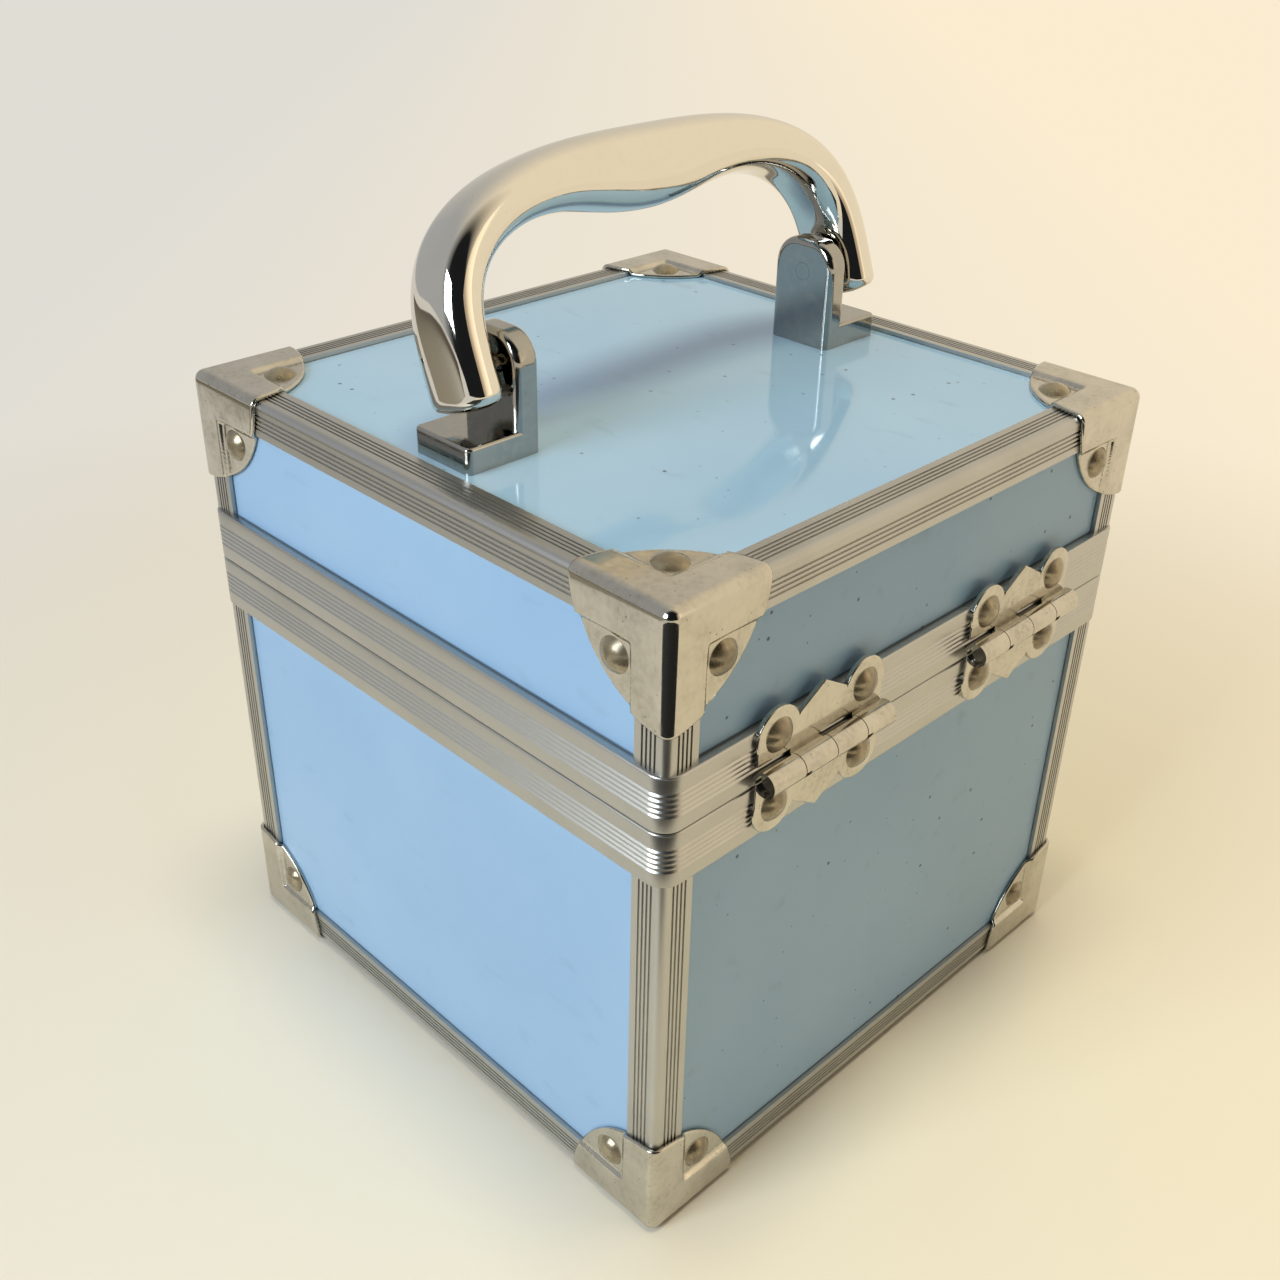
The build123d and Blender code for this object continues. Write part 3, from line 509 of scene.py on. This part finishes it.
def grid_faces(rows: int, columns: int, closed: bool = False, start: int = 0) -> Array:
    """Quads between neighbouring points of a grid that is stored row by row.

    Args:
        rows: points along the first parameter.
        columns: points along the second parameter.
        closed: whether the last column joins the first.
        start: number of the grid's first point.
    Returns:
        Rows of four point numbers.
    """
    i, j = np.meshgrid(np.arange(rows - 1), np.arange(columns if closed else columns - 1), indexing="ij")
    k = (j + 1) % columns
    here, above = i * columns, (i + 1) * columns
    quads = np.stack([here + j, here + k, above + k, above + j], axis=-1)
    return quads.reshape(-1, 4) + start


def smooth_step(value: Array, low: float, high: float) -> Array:
    """0 below low, 1 above high and a cubic ease between them."""
    share = np.clip((value - low) / (high - low), 0, 1)
    return share * share * (3 - 2 * share)


@dataclass
class BowHandle:
    """The chromed bow: two legs beside the ears, round shoulders and a grip with a full belly."""

    pivot_z: float = 167.3
    lean: float = 20.0
    leg_in: float = 52.5
    leg_out: float = 62.5
    leg_half_depth: float = 8.6
    end_drop: float = 7.4
    end_round: float = 2.6
    end_share: float = 0.55
    outer_rise: float = 38.9
    inner_rise: float = 27.0
    outer_power: float = 2.9
    inner_power: float = 3.2
    belly: float = 5.2
    belly_spread: float = 21.6
    grip_half_depth: float = 8.0
    softness: float = 2.7
    along: int = 200
    around: int = 64
    fine_steps: int = 600
    leg_steps: int = 20

    def centre_lines(self) -> tuple[Array, Array, Array]:
        """Outer line, inner line and half depth along the bow.

        Both lines are superellipses over the pivots, x = a cos^(2/p), z = b sin^(2/p). The inner one
        drops by a bell curve at the grip, and straight legs run on below the pivots. Points are spaced
        evenly along the line midway between the two.
        Returns:
            Two n by 2 arrays of X and Z, and n half depths.
        """
        turn = np.linspace(0, np.pi / 2, self.fine_steps)[1:]
        lines = []
        for half, rise, power in ((self.leg_out, self.outer_rise, self.outer_power),
                                  (self.leg_in, self.inner_rise, self.inner_power)):
            x = half * np.clip(np.cos(turn), 0, 1) ** (2 / power)
            z = rise * np.sin(turn) ** (2 / power)
            lines.append(np.stack([x, z], axis=1))
        outer, inner = lines
        share = inner[:, 1] / self.inner_rise
        inner[:, 1] -= share * self.belly * np.exp(-((inner[:, 0] / self.belly_spread) ** 2))
        depth = self.leg_half_depth + (self.grip_half_depth - self.leg_half_depth) * share
        drop = np.linspace(-self.end_drop, 0, self.leg_steps)
        outer = np.vstack([np.stack([np.full_like(drop, self.leg_out), drop], axis=1), outer])
        inner = np.vstack([np.stack([np.full_like(drop, self.leg_in), drop], axis=1), inner])
        depth = np.concatenate([np.full_like(drop, self.leg_half_depth), depth])
        flip = np.array([-1.0, 1.0])
        outer = np.vstack([outer, outer[-2::-1] * flip])
        inner = np.vstack([inner, inner[-2::-1] * flip])
        depth = np.concatenate([depth, depth[-2::-1]])
        run = self.lengths((outer + inner) / 2)
        even = np.linspace(0, run[-1], self.along)
        table = np.column_stack([outer, inner, depth])
        table = np.stack([np.interp(even, run, column) for column in table.T], axis=1)
        return table[:, 0:2], table[:, 2:4], table[:, 4]

    @staticmethod
    def lengths(line: Array) -> Array:
        """Length along a line up to each of its points: the running sum of its steps."""
        return np.concatenate([[0], np.cumsum(np.linalg.norm(np.diff(line, axis=0), axis=1))])

    def surface(self) -> Array:
        """Grid of the bow: a superelliptic section carried along it, drawn in at both ends.

        Returns:
            An array of along by around by 3, in millimetres.
        """
        outer, inner, depth = self.centre_lines()
        middle, half = (outer + inner) / 2, (outer - inner) / 2
        run = self.lengths(middle)
        left = np.clip(np.minimum(run, run[-1] - run) / self.end_round, 0, 1)
        draw = np.sqrt(1 - (1 - left) ** 2)
        angle = np.linspace(0, 2 * np.pi, self.around, endpoint=False)
        power = 2 / self.softness
        across = np.sign(np.cos(angle)) * np.abs(np.cos(angle)) ** power
        deep = np.sign(np.sin(angle)) * np.abs(np.sin(angle)) ** power
        keep = self.end_share + (1 - self.end_share) * draw
        x = middle[:, 0, None] + keep[:, None] * half[:, 0, None] * across
        z = middle[:, 1, None] + keep[:, None] * half[:, 1, None] * across
        y = (keep * depth)[:, None] * deep
        c, s = math.cos(math.radians(self.lean)), math.sin(math.radians(self.lean))
        return np.stack([x, c * y - s * z, s * y + c * z + self.pivot_z], axis=-1)

    def build(self, material: bpy.types.Material) -> bpy.types.Object:
        """Makes the bow, closes its ends and sets it in place of the plain one."""
        grid = self.surface()
        rows, columns = grid.shape[:2]
        faces = grid_faces(rows, columns, closed=True).tolist()
        faces += [tuple(range(columns))[::-1], tuple(range((rows - 1) * columns, rows * columns))]
        piece = make_piece("handle_bow", grid.reshape(-1, 3), faces, material)
        return seated(piece, "handle", "bow_handle")


@dataclass
class CornerCap:
    """Pressed corner cap: three quarter discs with raised arms, a sunk web and rounded folds."""

    reach: float = 25.0
    arm: float = 9.5
    step: float = 0.55
    sink: float = 1.0
    sheet: float = 0.9
    fold: float = 2.4
    lip: float = 0.35
    lip_fall: float = 0.6
    lip_thin: float = 0.3
    bend: float = 0.25
    bend_spread: float = 1.5
    rings: int = 72
    spokes: int = 64

    def face(self, inset: float) -> Array:
        """One face of the top corner at +X +Y, with the tip at the origin.

        A point of the sharp corner, given by its distances a and b from the two folds, goes to the
        nearest point of a corner with rounded folds and then inwards: by the sink where both distances
        are past the arms, and by the inset.
        Args:
            inset: how far below the outer skin, in millimetres.
        Returns:
            An array of rings by spokes by 3.
        """
        share = np.linspace(0, 1, self.rings)
        angle = np.linspace(0, np.pi / 2, self.spokes)
        radius = self.reach * share[:, None]
        a, b = radius * np.cos(angle), radius * np.sin(angle)
        sharp = np.stack([-a, -b, np.zeros_like(a)], axis=-1)
        centre = np.minimum(sharp, -self.fold)
        out = sharp - centre
        out /= np.linalg.norm(out, axis=-1, keepdims=True)
        softly = np.minimum(a, b) - self.bend * np.exp(-np.abs(a - b) / self.bend_spread)
        depth = self.sink * smooth_step(softly, self.arm - self.step, self.arm + self.step)
        edge = np.clip((radius - (self.reach - self.lip)) / self.lip, 0, 1)
        depth = depth + self.lip_fall * self.lip * edge ** 2
        return centre + (self.fold - depth - inset * (1 - self.lip_thin * edge))[..., None] * out

    def shell(self) -> tuple[Array, Array]:
        """Points and quads of a closed cap, from three turned faces, their inner skins and the rim."""
        outer, inner = self.face(0.0), self.face(self.sheet)
        size = self.rings * self.spokes
        points, quads = [], []
        for turn in range(3):
            start = 2 * size * turn
            points += [np.roll(skin, turn, axis=-1).reshape(-1, 3) for skin in (outer, inner)]
            quads.append(grid_faces(self.rings, self.spokes, start=start))
            quads.append(grid_faces(self.rings, self.spokes, start=start + size)[:, ::-1])
            last = start + (self.rings - 1) * self.spokes + np.arange(self.spokes)
            quads.append(np.stack([last[:-1], last[1:], last[1:] + size, last[:-1] + size], axis=-1))
        return np.vstack(points), np.vstack(quads)

    @staticmethod
    def tip(node: str, signs: Array) -> Array:
        """The outer corner of a plain cap's box, in millimetres to the nearest thousandth."""
        least, most = (np.round(np.array(corner) / MM, 3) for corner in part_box(node))
        return np.where(signs > 0, most, least)

    def build(self, material: bpy.types.Material) -> list[bpy.types.Object]:
        """Makes the eight caps in place of the plain ones."""
        points, quads = self.shell()
        made = []
        for body, level in (("lid", 1), ("base", -1)):
            for depth_name, sy in (("front", -1), ("rear", 1)):
                for side_name, sx in (("left", -1), ("right", 1)):
                    node = f"{body}_cap_{depth_name}_{side_name}"
                    signs = np.array([sx, sy, level])
                    placed = points * signs + self.tip(node, signs)
                    piece = make_piece(node.replace("cap", "corner"), placed, quads, material, merge=0.02)
                    made.append(seated(piece, body, node))
        return made


@dataclass
class RimBand:
    """Band round the edge of the base or lid: a lipped, grooved section carried round the box."""

    body: str
    way: int
    corner: float = 4.5
    height: float = 12.2
    wall: float = 2.0
    flange: float = 1.2
    leg: float = 5.0
    leg_wall: float = 1.0
    inner: float = 6.5
    edge: float = 0.45
    grooves: int = 5
    pitch: float = 1.15
    groove_middle: float = 6.1
    groove_half: float = 0.36
    groove_depth: float = 0.28
    arc: int = 14
    edge_steps: int = 5
    least_corner: float = 0.3

    @property
    def node(self) -> str:
        """The plain band that this one stands for."""
        return f"{self.body}_rim"

    def section(self) -> Array:
        """Closed section as depth from the outer face and distance from the seam.

        The outer face has V grooves at an even pitch and quarter-circle edges. From the seam a flange
        goes in over the board, with a short leg down its inner side.
        Returns:
            An n by 2 array whose last point is the first one.
        """
        middles = self.groove_middle + (np.arange(self.grooves) - (self.grooves - 1) / 2) * self.pitch
        high = middles[:, None] + self.groove_half * np.array([-1, 0, 1])
        deep = np.broadcast_to([0, self.groove_depth, 0], high.shape)
        face = np.stack([deep.ravel(), high.ravel()], axis=1)
        turn = np.linspace(0, np.pi / 2, self.edge_steps)
        start = self.edge * np.stack([1 - np.sin(turn), 1 - np.cos(turn)], axis=1)
        end = np.array([0, self.height]) + start[::-1] * (1, -1)
        inside = self.inner - self.leg_wall
        back = np.array([[self.wall, self.height], [self.wall, self.flange], [inside, self.flange],
                         [inside, self.leg], [self.inner, self.leg], [self.inner, 0], start[0]])
        return np.vstack([start, face, end, back])

    def surface(self) -> Array:
        """Grid of the band: each depth runs round its own rounded square, whose corners tighten inwards."""
        depth, high = self.section().T
        radius = np.maximum(self.corner - depth, self.least_corner)[:, None]
        least, most = (np.array(corner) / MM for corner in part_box(self.node))
        rim_z = least[2] if self.way > 0 else most[2]
        reach = most[0] - depth[:, None] - radius
        angle = (np.arange(4)[:, None] * np.pi / 2 + np.linspace(0, np.pi / 2, self.arc)).ravel()
        quarter = np.repeat(np.arange(4) * np.pi / 2 + np.pi / 4, self.arc)
        x = reach * np.sign(np.cos(quarter)) + radius * np.cos(angle)
        y = reach * np.sign(np.sin(quarter)) + radius * np.sin(angle)
        z = np.broadcast_to((rim_z + self.way * high)[:, None], x.shape)
        return np.stack([x, y, z], axis=-1)

    def build(self, material: bpy.types.Material) -> bpy.types.Object:
        """Makes the band in place of the plain one."""
        grid = self.surface()
        quads = grid_faces(*grid.shape[:2], closed=True)
        piece = make_piece(f"{self.body}_band", grid.reshape(-1, 3), quads, material, merge=0.005, crease=30)
        return seated(piece, self.body, self.node)


@dataclass
class FeltPad:
    """A sheet of felt glued to a board: softly crowned, with round edges and slightly drawn-in sides."""

    node: str
    body: str
    way: int
    edge: float = 5.0
    drawn_in: float = 0.6
    wave: float = 0.16
    ripple: tuple[float, float, float] = (9.0, 11.0, 7.0)
    points: int = 97

    def surface(self) -> Array:
        """Grid of the open face of the pad and of its glued face.

        Both faces are squares whose sides are drawn in by a parabola, most in the middle. The open face
        stands a thickness off the board, less a low wave of sines, and falls to the board along a
        quarter circle within the edge's width.
        Returns:
            An array of 2 by points by points by 3.
        """
        least, most = (np.array(corner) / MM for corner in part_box(self.node))
        half, thick = most[0], most[2] - least[2]
        board_z = least[2] if self.way > 0 else most[2]
        steps = np.sin(np.linspace(-np.pi / 2, np.pi / 2, self.points))
        u, v = np.meshgrid(steps, steps, indexing="ij")
        x = u * (half - self.drawn_in * (1 - v ** 2) * u ** 2)
        y = v * (half - self.drawn_in * (1 - u ** 2) * v ** 2)
        inside = np.clip(half * (1 - np.maximum(np.abs(u), np.abs(v))) / self.edge, 0, 1)
        lift = thick * np.sqrt(1 - (1 - inside) ** 2)
        first, second, third = self.ripple
        ripples = np.sin(x / first + 1) * np.cos(y / second) + np.sin(y / third)
        lift *= 1 - self.wave * (0.5 + 0.25 * ripples)
        glued = np.stack([x, y, np.full_like(x, board_z)], axis=-1)
        return np.stack([glued + self.way * lift[..., None] * np.array([0, 0, 1.0]), glued])

    def build(self, material: bpy.types.Material) -> bpy.types.Object:
        """Makes the pad in place of the plain sheet."""
        grid = self.surface()
        faces = grid_faces(self.points, self.points)
        quads = np.vstack([faces, faces[:, ::-1] + self.points ** 2])
        piece = make_piece(f"{self.node}_felt", grid.reshape(-1, 3), quads, material, merge=0.01)
        seated(piece, self.body, self.node)
        return piece


@dataclass(frozen=True)
class PhotoCamera:
    """The camera that sees the box as photographed. Its focal length is in pixels of the image."""

    focal: float = 1448.1
    azimuth: float = 135.02
    elevation: float = 30.65
    distance: float = 360.45
    target: tuple[float, float, float] = (0.6, -6.45, 81.9)
    roll: float = 1.13

    def build(self) -> bpy.types.Object:
        """Makes the camera and has the scene use it."""
        a, e = math.radians(self.azimuth), math.radians(self.elevation)
        back = Vector((math.sin(a) * math.cos(e), -math.cos(a) * math.cos(e), math.sin(e)))
        data = bpy.data.cameras.new("photo_camera")
        data.sensor_width, data.lens = SENSOR, self.focal / IMAGE * SENSOR
        data.clip_start, data.clip_end = 0.01, 50.0
        camera = bpy.data.objects.new("photo_camera", data)
        turn = back.to_track_quat("Z", "Y").to_matrix() @ Matrix.Rotation(math.radians(self.roll), 3, "Z")
        place = (Vector(self.target) + self.distance * back) * MM
        camera.matrix_world = Matrix.Translation(place) @ turn.to_4x4()
        bpy.context.scene.collection.objects.link(camera)
        bpy.context.scene.camera = camera
        return camera


@dataclass(frozen=True)
class Lamp:
    """A square soft lamp that looks at the box. Its place, size and aim are in metres."""

    name: str
    place: tuple[float, float, float]
    size: float
    watts: float
    colour: tuple[float, float, float]
    mirrored: bool = True
    aim: tuple[float, float, float] = (0.0, 0.0, 0.08)

    def build(self) -> bpy.types.Object:
        """Makes the lamp, which metal mirrors only where that is asked for."""
        data = bpy.data.lights.new(self.name, "AREA")
        data.size, data.energy, data.color = self.size, self.watts, self.colour
        lamp = bpy.data.objects.new(self.name, data)
        lamp.location, lamp.visible_glossy = self.place, self.mirrored
        away = Vector(self.place) - Vector(self.aim)
        lamp.rotation_euler = away.to_track_quat("Z", "Y").to_euler()
        bpy.context.scene.collection.objects.link(lamp)
        return lamp


@dataclass(frozen=True)
class Card:
    """A card just above the floor, which only mirror images show."""

    name: str
    along: tuple[float, float]
    across: tuple[float, float]
    turn: float
    colour: Colour
    height: float = 2.0

    def build(self) -> bpy.types.Object:
        """Makes the card: four points along and across a level line from the middle of the box."""
        along, across = np.meshgrid(self.along, self.across, indexing="ij")
        c, s = math.cos(math.radians(self.turn)), math.sin(math.radians(self.turn))
        level = np.full_like(along, self.height)
        grid = np.stack([c * along - s * across, s * along + c * across, level], axis=-1)
        finish = Graph(self.name).close(Base_Color=self.colour, Roughness=0.9)
        card = make_piece(self.name, grid.reshape(-1, 3), grid_faces(2, 2), finish)
        for ray in ("camera", "diffuse", "shadow", "transmission"):
            setattr(card, f"visible_{ray}", False)
        return card


@dataclass
class Studio:
    """Pale floor, soft lamps and the room that the metal mirrors."""

    floor_rings: tuple[float, ...] = (0.0, 300.0, 900.0, 6000.0)
    floor_spokes: int = 48
    floor_blend: float = 0.5
    near_floor: float = 120.0
    plain_floor: float = 430.0
    # Floor colours: darker and cooler to the left, brighter and warmer to the right, as painted light.
    floor: Colour = srgb("D4D3D0")
    floor_right: Colour = srgb("FFF4DC")
    far_left: Colour = srgb("E0DDD5")
    far_right: Colour = srgb("FBECD0")
    wall_left: Colour = srgb("B2B4B6")
    wall_right: Colour = srgb("FFF0D4")
    dark: Colour = srgb("1E1F21")
    room_strength: float = 0.7
    room_blend: float = 0.6
    right: tuple[float, float, float] = (-0.707, 0.707, 0.0)
    behind: tuple[float, float, float] = (0.62, 0.72, 0.30)
    dark_from: float = 0.3
    dark_full: float = 0.62
    cards: tuple[Card, ...] = (
        Card("studio_flag", (200.0, 700.0), (-240.0, 240.0), 45.0, srgb("141416")),
        Card("studio_side_card", (262.0, 2500.0), (-1500.0, -150.0), 0.0, srgb("8C857A")),
    )
    lamps: tuple[Lamp, ...] = (
        Lamp("key", (1.05, -0.05, 0.62), 0.55, 10.6, (0.84, 0.93, 1.0)),
        Lamp("side", (-0.35, 1.0, 0.45), 0.6, 0.6, (1.0, 0.78, 0.52)),
        Lamp("top", (0.02, 0.06, 1.2), 0.3, 6.4, (1.0, 0.89, 0.58), mirrored=False),
    )

    def build_floor(self) -> bpy.types.Object:
        """A round floor: rings of points round the middle. Far from the box it shows its plain colour."""
        radius = np.array(self.floor_rings)[:, None]
        angle = np.linspace(0, 2 * np.pi, self.floor_spokes, endpoint=False)
        x, y = radius * np.cos(angle), radius * np.sin(angle)
        grid = np.stack([x, y, np.zeros_like(x)], axis=-1)
        graph = Graph("studio_floor")
        # Painted light: the floor's colour runs from the darker, cooler grey on the left to the brighter,
        # warmer cream on the right.
        to_right = (graph.axis("Y") - graph.axis("X")).between(-self.floor_blend, self.floor_blend)
        tone = graph.blend(to_right, self.floor, self.floor_right)
        rough = 0.42 + 0.1 * graph.noise(180, 4)
        lit = graph.node("ShaderNodeBsdfPrincipled", None, {"Base Color": tone, "Roughness": rough})
        # Painted light too: the plain far floor is cooler on the left and warmer on the right.
        far = graph.blend(to_right, self.far_left, self.far_right)
        plain = graph.node("ShaderNodeEmission", None, {"Color": far, "Strength": 1.0})
        away = graph.node("ShaderNodeVectorMath", {"operation": "LENGTH"}, {0: graph.place}, "Value")
        share = away.between(self.near_floor * MM, self.plain_floor * MM) * graph.looked_at()
        mixed = graph.node("ShaderNodeMixShader", None, {0: share, 1: lit, 2: plain})
        graph.end(mixed, "ShaderNodeOutputMaterial")
        quads = grid_faces(*grid.shape[:2], closed=True)
        floor = make_piece("studio_floor", grid.reshape(-1, 3), quads, graph.material, merge=0.01)
        return floor

    def build_room(self) -> None:
        """World light: a pale room, cool on the left and warm on the right.

        Mirrors see it at strength 1, and dark behind the camera. Diffuse light has the room's strength.
        """
        world = bpy.data.worlds.new("studio_room")
        graph = Graph("studio_room", world)
        bpy.context.scene.world = world
        to_right = graph.along(self.right).between(-self.room_blend, self.room_blend)
        tone = graph.blend(to_right, self.wall_left, self.wall_right)
        behind = graph.along(self.behind).between(self.dark_from, self.dark_full)
        tone = graph.blend(behind * (1 - graph.ray("Camera")), tone, self.dark)
        strength = self.room_strength + (1 - self.room_strength) * graph.looked_at()
        light = graph.node("ShaderNodeBackground", None, {"Color": tone, "Strength": strength})
        graph.end(light, "ShaderNodeOutputWorld")

    def build(self) -> None:
        """Makes floor, room, cards and lamps."""
        self.build_floor()
        self.build_room()
        for thing in (*self.cards, *self.lamps):
            thing.build()
        bpy.context.scene.view_settings.view_transform = "Standard"


class Finish(Enum):
    """Finishes of the box's pieces."""

    LAMINATE = Laminate()
    BAND = SatinAluminium(Grain.LEVEL)
    POST = SatinAluminium(Grain.UPRIGHT)
    EDGE = SatinAluminium(Grain.EDGE)
    NICKEL = AgedNickel()
    # The feet's chrome colour is darker than the bow's: painted shade and painted reflection of the dark
    # round the feet. Their pits and haze are wear.
    CHROME = Chrome("foot_chrome_painted_dark", 1.0, srgb("A6A5A1"))
    BOW = Chrome("bow_chrome", 0.15, srgb("E3DFD6"))
    RIVET = TarnishedRivet()
    PLASTIC = TrayPlastic()
    STEEL = LiftSteel()
    FELT = Felt()


@dataclass
class PlainPieces:
    """The CAD pieces, which get a finish by their names."""

    nodes: dict[str, bpy.types.Object]
    ends: tuple[tuple[str, Finish], ...] = (
        ("_panel", Finish.LAMINATE), ("_posts", Finish.POST), ("_edges", Finish.EDGE), ("_rim", Finish.BAND),
        ("_rivets", Finish.RIVET), ("_tray", Finish.PLASTIC), ("_mat", Finish.FELT), ("_pad", Finish.FELT),
    )
    starts: tuple[tuple[str, Finish], ...] = (
        ("hinge_", Finish.NICKEL), ("latch", Finish.NICKEL), ("hasp", Finish.NICKEL),
        ("catch", Finish.NICKEL), ("base_cap", Finish.NICKEL), ("lid_cap", Finish.NICKEL),
        ("handle_", Finish.CHROME), ("bow_", Finish.BOW),
    )
    made: dict[Finish, bpy.types.Material] = field(default_factory=dict)

    def finish_of(self, name: str) -> Finish:
        """The finish of a node: by how its name ends, then by how it starts, else the lift's steel."""
        found = [finish for end, finish in self.ends if name.endswith(end)]
        found += [finish for start, finish in self.starts if name.startswith(start)]
        return (found + [Finish.STEEL])[0]

    def dress(self) -> None:
        """Makes the finishes and gives each node its own."""
        self.made = {finish: finish.value.material() for finish in Finish}
        for name, node in self.nodes.items():
            node.data.materials.clear()
            node.data.materials.append(self.made[self.finish_of(name)])


def main() -> None:
    """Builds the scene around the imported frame."""
    logging.basicConfig(level=logging.INFO, format="%(name)s: %(message)s")
    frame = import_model()
    PhotoCamera().build()
    Studio().build()
    plain = PlainPieces(frame["nodes"])
    plain.dress()
    made = [BowHandle().build(plain.made[Finish.BOW])]
    made += CornerCap().build(plain.made[Finish.NICKEL])
    band, felt = plain.made[Finish.BAND], plain.made[Finish.FELT]
    made += [RimBand("base", -1).build(band), RimBand("lid", 1).build(band)]
    made += [FeltPad("base_mat", "base", 1).build(felt), FeltPad("lid_pad", "lid", -1).build(felt)]
    for piece in made:
        LOG.info("%s: %d faces", piece.name, len(piece.data.polygons))


if __name__ == "__main__":
    main()
